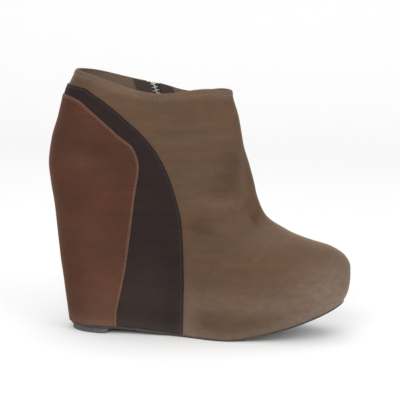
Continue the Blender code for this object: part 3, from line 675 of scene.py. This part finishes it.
def make_heel_panel(suede):
    """Panel round the back of the heel, its front edge turned under and stitched down."""
    out_level, out_angle = edge_path(HEEL_EDGE, True, PANEL_ROWS)
    in_level, in_angle = edge_path(HEEL_EDGE, False, PANEL_ROWS)
    spine = np.linspace(PANEL_FOOT, (out_level[-1] + in_level[-1]) / 2, PANEL_ROWS)
    across = spread(0.0045, 0.070, 16, 34)
    level_out = out_level[:, None] + (spine - out_level)[:, None] * across
    level_in = in_level[:, None] + (spine - in_level)[:, None] * across
    angle_out = out_angle[:, None] * (1 - across)
    angle_in = in_angle[:, None] * (1 - across)
    level = np.concatenate((level_out, level_in[:, -2::-1]), axis=1)
    angle = np.concatenate((angle_out, angle_in[:, -2::-1]), axis=1)
    points = skin(level, angle)
    inside = edge_distance(points, HEEL_EDGE)
    outer, inner = lay_panel(level, angle, inside, HEEL_PANEL_THICKNESS, PANEL_ROLL, PANEL_STITCH, SEAM_DEPTH)
    tone_and_painted_light, dust = marks(level, angle, points)
    # Paler along the rolled edge, a painted shadow in a thin line right at the edge where the panel meets the
    # dark strip, and painted shade in the stitches' groove.
    tone_and_painted_light += 0.22 * band(inside, 0.0009, 0.0008) - 0.30 * band(inside, 0, 0.0004)
    tone_and_painted_light -= 0.18 * band(inside, PANEL_STITCH, 0.0006)
    dust += 0.30 * band(inside, 0.0008, 0.0007)
    panel = shell("heel_panel_suede", outer, inner, suede, {"tone_and_painted_light": tone_and_painted_light, "dust": dust})
    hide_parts("heel_panel")


def make_stripe_panel(suede):
    """Curved strip that runs from the sole up and round the back between the other two colours."""
    across = spread(0.0035, 0.035, 12, 26)[:, None]
    grids = []
    for outer in (True, False):
        front = np.stack(edge_path(STRIPE_EDGE, outer, PANEL_ROWS))[:, None]
        rear = np.stack(edge_path(HEEL_EDGE, outer, PANEL_ROWS, shift=GAP / 2))[:, None]
        grids.append(front + (rear - front) * across)
    level, angle = np.concatenate((grids[0], grids[1][:, :, -2::-1]), axis=2)
    points = skin(level, angle)
    inside = edge_distance(points, STRIPE_EDGE)
    outer, inner = lay_panel(level, angle, inside, STRIPE_THICKNESS, STRIPE_ROLL, STRIPE_STITCH,
                             0.6 * SEAM_DEPTH)
    tone_and_painted_light, dust = marks(level, angle, points)
    # Paler along the rolled edge, with a painted shadow in a thin line right at the edge where the strip
    # meets the upper.
    tone_and_painted_light += 0.20 * band(inside, 0.0012, 0.0006) - 0.35 * band(inside, 0, 0.0005)
    panel = shell("stripe_panel_suede", outer, inner, suede, {"tone_and_painted_light": tone_and_painted_light, "dust": 0.6 * dust})
    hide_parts("stripe_panel")


def zip_head_z():
    return skin(RIM, side_angle(float(RIM), ZIP_HEAD_X, False))[2]


def zip_length():
    return math.hypot(ZIP_FOOT_X - ZIP_HEAD_X, ZIP_FOOT_Z - zip_head_z())


def zip_line(run):
    """Level and angle of the zip's middle line at a distance down from the rim."""
    run = np.asarray(run, float)
    head_z = zip_head_z()
    slope = np.array((ZIP_FOOT_X - ZIP_HEAD_X, ZIP_FOOT_Z - head_z))
    slope = slope / np.linalg.norm(slope)
    x = ZIP_HEAD_X + slope[0] * run
    z = head_z + slope[1] * run
    level = level_where(lambda middle: skin(middle, side_angle(middle, x, False))[..., 2] > z, run.shape)
    return level, side_angle(level, x, False)


def zip_ways(run):
    """Way down the zip and way across it, at distances from the rim."""
    out = skin_normal(*zip_line(run))
    behind = np.maximum(run, LINE_STEP) - LINE_STEP
    down = skin(*zip_line(run + LINE_STEP)) - skin(*zip_line(behind))
    down = unit(down - np.sum(down * out, axis=-1, keepdims=True) * out)
    return down, np.cross(out, down)


def zip_point(runs, acrosses, proud):
    """Points at distances down the zip from the rim, at places across it and at a height over the skin."""
    inside = np.maximum(runs, 0)
    level, angle = zip_line(inside)
    down, across = zip_ways(inside)
    swept = skin(level, angle + SKIN_STEP) - skin(level, angle - SKIN_STEP)
    pace = np.sum(swept * across, axis=-1) / (2 * SKIN_STEP)
    points = off_skin(level, angle + acrosses / pace, proud, worn=False)
    return points + (runs - inside)[..., None] * down


def zip_grid(runs, acrosses, proud):
    """Grid of such points, one row for each distance."""
    return zip_point(*np.meshgrid(runs, acrosses, indexing="ij"), proud)


def make_teeth(metal):
    """Two rows of teeth that lock into each other."""
    runs = np.linspace(CHAIN_DROP, zip_length() - CHAIN_DROP / 2, TOOTH_COUNT)
    side = np.where(np.arange(TOOTH_COUNT) % 2 == 0, 1, -1)
    reach = CHAIN_WIDTH * np.array((0.50, 0.18, -0.10))
    half_length = (runs[1] - runs[0]) * np.array((0.26, 0.26, 0.42))
    along = half_length[:, None] * np.array((-1, 1, 1, -1))
    proud = CHAIN_PROUD - TOOTH_THICKNESS * np.array((1, 1, 0, 0))
    run = runs[:, None, None] + along
    corners = zip_point(run, side[:, None, None] * reach[:, None], proud)
    walls = grid_faces(3, 4, closed_columns=True)
    one = np.concatenate((walls, ((0, 1, 2, 3), (8, 9, 10, 11))))
    faces = np.concatenate([one + k * 12 for k in range(TOOTH_COUNT)])
    teeth = build("zip_teeth_metal", corners, faces, metal)
    break_edges(teeth, TOOTH_EDGE, 2)
    apply_modifiers(teeth)
    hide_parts("zip_teeth")


def make_tapes(cloth):
    """Two woven tapes that hold the teeth, raised in the slot and flat under the lining beside it."""
    length = zip_length()
    runs = np.linspace(TAPE_TOP, length + TAPE_TAIL, 110)
    widths = np.concatenate((np.linspace(TAPE_MIDDLE, 0.0048, 16), np.linspace(0.0056, TAPE_HALF_WIDTH, 12)))
    run, width = np.meshgrid(runs, widths, indexing="ij")
    raised = 1 - ease((width - TAPE_RAISED) / TAPE_STEP)
    raised *= 1 - ease((run - length + TAPE_END) / TAPE_END_STEP)
    under = -WALL - TAPE_UNDER_WALL
    middle = under + (-TAPE_IN_SLOT - under) * raised
    points, faces, count = [], [], 0
    for side in (-1, 1):
        faces.append(shell_faces(*run.shape) + count)
        for half in (TAPE_THICKNESS / 2, -TAPE_THICKNESS / 2):
            points.append(zip_point(run, side * width, middle + half).reshape(-1, 3))
            count += run.size
    tapes = build("zip_tapes_woven", np.concatenate(points), np.concatenate(faces), cloth)
    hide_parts("zip_tape")


def make_stops(metal):
    """Metal stops at both ends of the teeth."""
    places = [(CHAIN_DROP - STOP_PAST_TEETH, side * STOP_ACROSS, STOP_SIZE) for side in (-1, 1)]
    places.append((zip_length() - STOP_PAST_TEETH, 0.0, END_STOP_SIZE))
    signs = np.array([(a, b, c) for a in (-1, 1) for b in (-1, 1) for c in (0, 1)], float)
    one = np.array(((0, 1, 3, 2), (4, 6, 7, 5), (0, 4, 5, 1), (2, 3, 7, 6), (0, 2, 6, 4), (1, 5, 7, 3)))
    corners = [zip_point(run + signs[:, 0] * size[0] / 2, across + signs[:, 1] * size[1] / 2,
                         CHAIN_PROUD + STOP_PROUD - signs[:, 2] * (TOOTH_THICKNESS + 2 * STOP_PROUD))
               for run, across, size in places]
    faces = np.concatenate([one + 8 * k for k in range(len(places))])
    stops = build("zip_stops_metal", np.concatenate(corners), faces, metal)
    break_edges(stops, STOP_EDGE, 3)
    apply_modifiers(stops)


def add_stitches(name, line, outs, thread):
    """Row of short stitches along a line of points, each one dipping into the leather at its ends."""
    length = distances_along(line)
    middles = np.arange(STITCH_PITCH, length[-1] - STITCH_PITCH, STITCH_PITCH)
    along = np.array((-0.5, -0.44, -0.22, 0.22, 0.44, 0.5)) * STITCH_LENGTH
    thick = np.array((0.25, 0.75, 1.0, 1.0, 0.75, 0.25)) * STITCH_RADIUS
    sink = np.array((-1.4, -0.7, 0.5, 0.5, -0.7, -1.4)) * STITCH_RADIUS
    sides = np.arange(6) * math.pi / 3
    at = middles[:, None] + along
    centre = np.stack([np.interp(at, length, line[:, k]) for k in range(3)], axis=-1)
    out = np.stack([np.interp(at, length, outs[:, k]) for k in range(3)], axis=-1)
    across = np.cross(unit(np.gradient(centre, axis=1)), out)
    ring = np.cos(sides)[:, None] * out[:, :, None, :] + np.sin(sides)[:, None] * across[:, :, None, :]
    points = (centre + sink[:, None] * out)[:, :, None, :] + thick[:, None, None] * ring
    one = grid_faces(len(along), len(sides), closed_columns=True)
    faces = np.concatenate([one + k * len(along) * len(sides) for k in range(len(middles))])
    build(name, points, faces, thread)


def collar_stitches(thread):
    """Stitch row under the collar's turned edge, from one side of the zip round to the other."""
    zip_turn = zip_line(FOLD_DEPTH)[1] % (2 * math.pi)
    angle = np.linspace(zip_turn - 2 * math.pi + STITCH_CLEAR_TURN, zip_turn - STITCH_CLEAR_TURN, 900)
    level = RIM - FOLD_DEPTH / rim_pace(angle)
    line = off_skin(level, angle, STITCH_PROUD)
    add_stitches("stitches_collar", line, skin_normal(level, angle), thread)


def panel_stitches(name, rows, outer, inset, proud, thread):
    """Stitch row along a panel's edge, inset from it, on one side of the shoe."""
    level, angle = edge_path(rows, outer, EDGE_STEPS, shift=-inset)
    line = off_skin(level, angle, proud)
    add_stitches(name, line, skin_normal(level, angle), thread)


def zip_stitches(thread):
    """Stitch rows on both sides of the zip."""
    for name, side in (("stitches_zip_front", 1), ("stitches_zip_back", -1)):
        runs = np.linspace(FOLD_DEPTH + 0.002, zip_length() + 0.003, 200)
        across = np.array((side * (SLOT_WIDTH / 2 + ZIP_STITCH),))
        low = zip_grid(runs, across, 0.0)[:, 0]
        high = zip_grid(runs, across, 0.001)[:, 0]
        out = unit(high - low)
        add_stitches(name, low + ZIP_STITCH_PROUD * out, out, thread)


def sole_sheet(ring_level, inset, height_low, height_high, name, material, roll):
    """Thin sheet across the shoe inside a ring, with rolled edges, between two heights over x."""
    half_turn = np.linspace(0.03, math.pi - 0.03, 150)
    left = off_skin(ring_level(half_turn), half_turn, inset, worn=False)
    right = off_skin(ring_level(-half_turn), -half_turn, inset, worn=False)
    across = np.concatenate((np.linspace(0, 0.08, 8, endpoint=False), np.linspace(0.08, 0.92, 22),
                             1 - np.linspace(0.08, 0, 9)[1:]))
    points = left[:, None] + (right - left)[:, None] * across[:, None]
    width = np.linalg.norm(right - left, axis=1)[:, None]
    edge = np.minimum(across, 1 - across) * width
    place = 2 * across - 1
    low = height_low(points[..., 0], place)
    high = height_high(points[..., 0], place)
    pinch = (high - low) / 2 * 0.8 * (1 - rounded(edge / roll))
    top = points.copy()
    top[..., 2] = high - pinch
    bottom = points.copy()
    bottom[..., 2] = low + pinch
    return shell(name, top, bottom, material)


def make_footbed(leather):
    """Insole inside the upper, cupped a little along its middle."""
    def ring_level(angle):
        def too_high(level):
            point = off_skin(level, angle, -WALL - FIT, worn=False)
            return point[:, 2] > bed_height(point[:, 0]) + GAP
        return level_where(too_high, len(angle))

    def low(x, place):
        return bed_height(x) + GAP - BED_CUP * (1 - place**2)

    def high(x, place):
        return low(x, place) + INSOLE_THICKNESS

    footbed = sole_sheet(ring_level, -WALL - FIT, low, high, "footbed", leather, FOOTBED_ROLL)
    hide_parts("insole")


def make_outsole(rubber):
    """Rubber sole that lies under the whole upper and turns up at the toe."""
    def ring_level(angle):
        return np.zeros(len(angle))

    def low(x, place):
        return tread_height(x)

    def high(x, place):
        return tread_height(x) + OUTSOLE_THICKNESS

    sole = sole_sheet(ring_level, OUTSOLE_LIP, low, high, "outsole_rubber", rubber, SOLE_ROLL)
    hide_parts("outsole")


def make_top_lift(rubber):
    """Rubber block under the heel, its front edge cut back towards the floor."""
    front_x = EDGE_BACK_X + LIFT_LENGTH
    sole_length = UPPER_LENGTH * (RINGS[0, 2] - RINGS[0, 0])
    widest = math.acos(1 - 2 * LIFT_LENGTH / sole_length)
    angles = widest * np.linspace(-1, 1, 61)
    outline = off_skin(0.0, angles, -LIFT_INSET, worn=False)
    rings = []
    for height, cut_back in ((0, LIFT_BEVEL), (LIFT_THICKNESS, 0)):
        ring = outline.copy()
        ring[:, 0] = np.minimum(ring[:, 0], front_x - cut_back)
        ring[[0, -1], 0] = front_x - cut_back
        ring[:, 2] = height
        rings.append(ring)
    caps = np.arange(2 * len(outline)).reshape(2, -1)
    faces = [*grid_faces(2, len(outline), closed_columns=True), *caps]
    lift = build("top_lift_rubber", np.array(rings), faces, rubber, sharp=40)
    break_edges(lift, LIFT_EDGE, 3)
    apply_modifiers(lift)
    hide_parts("top_lift")


def linear(red, green, blue):
    """Linear colour of a screen colour from 0 to 255."""
    return tuple((part / 255 / 12.92 if part <= 10 else ((part / 255 + 0.055) / 1.055) ** 2.4)
                 for part in (red, green, blue)) + (1,)


def new_material(name):
    surface = bpy.data.materials.new(name)
    surface.use_nodes = True
    return surface, surface.node_tree.nodes["Principled BSDF"]


def new_surface(name):
    """Material, its node tree, its shader, and coordinates in the object's own metres."""
    surface, shader = new_material(name)
    coords = add_node(surface.node_tree, "ShaderNodeTexCoord").outputs["Object"]
    return surface, surface.node_tree, shader, coords


def feed(tree, node, inputs):
    """Gives a node its inputs, each a value or another node's socket."""
    for key, value in inputs.items():
        if isinstance(value, bpy.types.NodeSocket):
            tree.links.new(value, node.inputs[key])
        else:
            node.inputs[key].default_value = value


def add_node(tree, kind, inputs=None, **settings):
    node = tree.nodes.new(kind)
    for key, value in settings.items():
        setattr(node, key, value)
    feed(tree, node, inputs or {})
    return node


def add_noise(tree, coords, scale, detail, roughness=0.5, stretch=(1, 1, 1)):
    """Noise from 0 to 1."""
    placed = add_node(tree, "ShaderNodeMapping", {"Vector": coords, "Scale": stretch})
    made = add_node(tree, "ShaderNodeTexNoise", {
        "Vector": placed.outputs["Vector"], "Scale": scale, "Detail": detail, "Roughness": roughness,
    })
    return made.outputs["Fac"]


def add_math(tree, operation, *parts):
    return add_node(tree, "ShaderNodeMath", dict(enumerate(parts)), operation=operation).outputs["Value"]


def add_mix(tree, factor, first, second):
    """First colour where the factor is 0, second where it is 1."""
    made = add_node(tree, "ShaderNodeMix", {"Factor": factor, 6: first, 7: second}, data_type="RGBA")
    return made.outputs[2]


def add_wave(tree, coords, scale, direction):
    made = add_node(tree, "ShaderNodeTexWave", {"Vector": coords, "Scale": scale}, bands_direction=direction)
    return made.outputs["Fac"]


def add_bump(tree, height, strength, distance, under=None):
    inputs = {"Height": height, "Strength": strength, "Distance": distance}
    if under:
        inputs["Normal"] = under
    return add_node(tree, "ShaderNodeBump", inputs).outputs["Normal"]


def suede(name, warm, cool, sheen_colour, dusty):
    """Suede in two soft tones, with brushed streaks, a fine nap, dust, and a painted sheen: a paler colour
    where it is seen at a glancing angle.
    """
    surface, tree, shader, coords = new_surface(name)
    patches = add_noise(tree, coords, 42, 2, 0.5, stretch=(0.7, 0.7, 1.0))
    streaks = add_noise(tree, coords, 120, 3, 0.55, stretch=(0.28, 0.28, 1.6))
    brushed = add_noise(tree, coords, 260, 4, 0.6, stretch=(0.6, 0.6, 1.0))
    nap = add_noise(tree, coords, 1500, 3, 0.6)
    blotch = add_node(tree, "ShaderNodeMapRange", {"Value": patches, "From Min": 0.3, "From Max": 0.7})
    colour = add_mix(tree, blotch.outputs["Result"], warm, cool)
    light = 1.0
    for layer, strength in ((streaks, 0.34), (brushed, 0.22), (nap, 0.40)):
        part = add_math(tree, "MULTIPLY_ADD", layer, strength, 1 - strength / 2)
        light = add_math(tree, "MULTIPLY", part, light)
    # Tone from the marks, with their painted shade and painted highlights, added to the lightness.
    tone_and_painted_light = add_node(tree, "ShaderNodeAttribute", attribute_name="tone_and_painted_light").outputs["Fac"]
    light = add_math(tree, "ADD", light, tone_and_painted_light)
    lit = add_node(tree, "ShaderNodeVectorMath", {0: colour, "Scale": light}, operation="SCALE")
    dust = add_node(tree, "ShaderNodeAttribute", attribute_name="dust").outputs["Fac"]
    covered = add_math(tree, "MULTIPLY", dust, add_math(tree, "MULTIPLY_ADD", brushed, 1.4, 0.3))
    colour = add_mix(tree, covered, lit.outputs["Vector"], dusty)
    # Painted sheen: the base colour is mixed towards a paler one where the surface is seen at a glancing
    # angle.
    glance = add_node(tree, "ShaderNodeLayerWeight", {"Blend": 0.5}).outputs["Facing"]
    painted_glancing_sheen = add_math(tree, "MULTIPLY", add_math(tree, "POWER", glance, 5.0), 0.75)
    soft = add_bump(tree, brushed, 0.3, 0.0008)
    feed(tree, shader, {
        "Base Color": add_mix(tree, painted_glancing_sheen, colour, sheen_colour), "Normal": add_bump(tree, nap, 0.5, 0.00025, soft),
        "Roughness": 0.95, "Specular IOR Level": 0.12,
        "Sheen Weight": 0.08, "Sheen Roughness": 0.4, "Sheen Tint": sheen_colour,
    })
    return surface


def leather(name, base, dark, roughness):
    """Smooth or lining leather with a fine grain and faint rubbed patches."""
    surface, tree, shader, coords = new_surface(name)
    patches = add_noise(tree, coords, 60, 4)
    fine = add_noise(tree, coords, 900, 5, 0.6)
    feed(tree, shader, {
        "Base Color": add_mix(tree, patches, base, dark), "Normal": add_bump(tree, fine, 0.5, 0.00012),
        "Roughness": roughness,
    })
    return surface


def rubber(name, base, dusty, ridges=0.0):
    """Matt rubber with dust in its pores, and with fine cross ridges where ridges isn't 0."""
    surface, tree, shader, coords = new_surface(name)
    dust = add_noise(tree, coords, 90, 6, 0.65)
    fine = add_noise(tree, coords, 1200, 3, 0.6)
    spots = add_node(tree, "ShaderNodeMapRange", {"Value": dust, "From Min": 0.45, "From Max": 0.7})
    normal = add_bump(tree, fine, 0.4, 0.0002)
    if ridges:
        normal = add_bump(tree, add_wave(tree, coords, ridges, "X"), 0.5, 0.0004, normal)
    colour = add_mix(tree, spots.outputs["Result"], base, dusty)
    feed(tree, shader, {"Base Color": colour, "Normal": normal, "Roughness": 0.72})
    return surface


def woven(name, base, light):
    """Woven zip tape."""
    surface, tree, shader, coords = new_surface(name)
    weave = add_math(tree, "MULTIPLY", add_wave(tree, coords, 500, "X"), add_wave(tree, coords, 500, "Z"))
    feed(tree, shader, {
        "Base Color": add_mix(tree, weave, base, light), "Normal": add_bump(tree, weave, 0.6, 0.0002),
        "Roughness": 0.9,
    })
    return surface


def thread(name, base):
    """Twisted sewing thread."""
    surface, tree, shader, coords = new_surface(name)
    twist = add_wave(tree, coords, 900, "DIAGONAL")
    normal = add_bump(tree, twist, 0.5, 0.0001)
    feed(tree, shader, {"Base Color": base, "Normal": normal, "Roughness": 0.65, "Sheen Weight": 0.2})
    return surface


def metal(name, base):
    """Plated metal with fine handling marks."""
    surface, tree, shader, coords = new_surface(name)
    worn = add_noise(tree, coords, 700, 4)
    rough = add_node(tree, "ShaderNodeMapRange", {"Value": worn, "To Min": 0.22, "To Max": 0.42})
    feed(tree, shader, {
        "Base Color": base, "Normal": add_bump(tree, worn, 0.15, 0.0001),
        "Roughness": rough.outputs["Result"], "Metallic": 1.0,
    })
    return surface


def dress_node(name, surface, edge=0.0):
    """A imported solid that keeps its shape, with a better material and broken edges."""
    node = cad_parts[name]
    node.data.materials.clear()
    node.data.materials.append(surface)
    if edge:
        break_edges(node, edge, 2)


def make_studio():
    """Pale floor that turns up into the backdrop, with wide soft lights."""
    surface, shader = new_material("studio_paper")
    feed(surface.node_tree, shader, {"Base Color": (0.86, 0.86, 0.86, 1), "Roughness": 0.9})
    turn = np.linspace(0, math.pi / 2, 24)
    bend = 0.8
    y = np.concatenate(([-3.0], 1.2 + bend * np.sin(turn), [1.2 + bend]))
    z = np.concatenate(([0.0], bend * (1 - np.cos(turn)), [4.0]))
    mesh = bpy.data.meshes.new("studio_floor")
    points = [(x, a, b) for a, b in zip(y, z) for x in (-4.0, 4.0)]
    mesh.from_pydata(points, [], grid_faces(len(y), 2).tolist())
    mesh.shade_smooth()
    mesh.materials.append(surface)
    floor = add_object("studio_floor", mesh)

    world = bpy.data.worlds.new("studio")
    world.use_nodes = True
    feed(world.node_tree, world.node_tree.nodes["Background"], {"Color": (1, 1, 1, 1), "Strength": 0.75})
    bpy.context.scene.world = world
    for name, place, size, power in LIGHTS:
        light = bpy.data.lights.new(name, "AREA")
        light.shape = "SQUARE"
        light.size = size
        light.energy = power
        lamp = add_object(name, light)
        lamp.location = place
        aim = Vector(LIGHTS_AIM) - Vector(place)
        lamp.rotation_euler = aim.to_track_quat("-Z", "Y").to_euler()


def make_camera():
    """Camera of the photograph, which looks a little down and is turned a little about its line of sight."""
    settings = bpy.data.cameras.new("camera")
    settings.lens = CAMERA_LENS
    settings.sensor_width = SENSOR
    camera = add_object("camera", settings)
    turn = Matrix.Rotation(CAMERA_PITCH, 4, "X") @ Matrix.Rotation(CAMERA_ROLL, 4, "Z")
    camera.matrix_world = Matrix.Translation(Vector(CAMERA_PLACE)) @ turn
    bpy.context.scene.camera = camera


def main():
    make_camera()
    make_studio()
    bpy.context.scene.view_settings.view_transform = "Standard"

    # The third colour of each suede is its painted sheen at a glancing angle, and also its sheen tint.
    taupe = suede("suede_taupe_brushed", linear(84, 63, 48), linear(77, 60, 47), linear(166, 142, 120),
                  linear(122, 109, 98))
    rust = suede("suede_rust_brushed", linear(72, 44, 32), linear(64, 41, 32), linear(140, 98, 78),
                 linear(122, 98, 84))
    dark = suede("suede_dark_brushed", linear(37, 28, 26), linear(34, 27, 26), linear(92, 76, 70),
                 linear(92, 82, 76))
    lining = leather("lining", linear(100, 82, 68), linear(88, 72, 60), 0.8)
    footbed = leather("footbed_leather", linear(150, 126, 100), linear(132, 108, 84), 0.5)
    sole = rubber("outsole_matt", linear(52, 48, 46), linear(84, 78, 72), ridges=260)
    lift = rubber("lift_matt", linear(60, 63, 64), linear(84, 86, 84))
    nickel = metal("zip_nickel", (0.62, 0.61, 0.58, 1))
    tape = woven("zip_weave", linear(46, 38, 34), linear(78, 66, 58))
    pale_thread = thread("thread_taupe", linear(126, 102, 84))
    rust_thread = thread("thread_rust", linear(104, 72, 58))
    dark_thread = thread("thread_dark", linear(33, 26, 25))

    make_upper(taupe, lining)
    make_heel_panel(rust)
    make_stripe_panel(dark)
    make_footbed(footbed)
    make_outsole(sole)
    make_top_lift(lift)
    make_tapes(tape)
    make_teeth(nickel)
    make_stops(nickel)
    collar_stitches(pale_thread)
    for side, outer in (("outer", True), ("inner", False)):
        panel_stitches(f"stitches_heel_{side}", HEEL_EDGE, outer, PANEL_STITCH, GAP + HEEL_PANEL_THICKNESS,
                       rust_thread)
        panel_stitches(f"stitches_stripe_{side}", STRIPE_EDGE, outer, STRIPE_STITCH, GAP + STRIPE_THICKNESS,
                       dark_thread)
    zip_stitches(pale_thread)
    dress_node("wedge", footbed)
    dress_node("zip_slider", nickel, SLIDER_EDGE)
    dress_node("zip_pull", nickel, PULL_EDGE)


main()
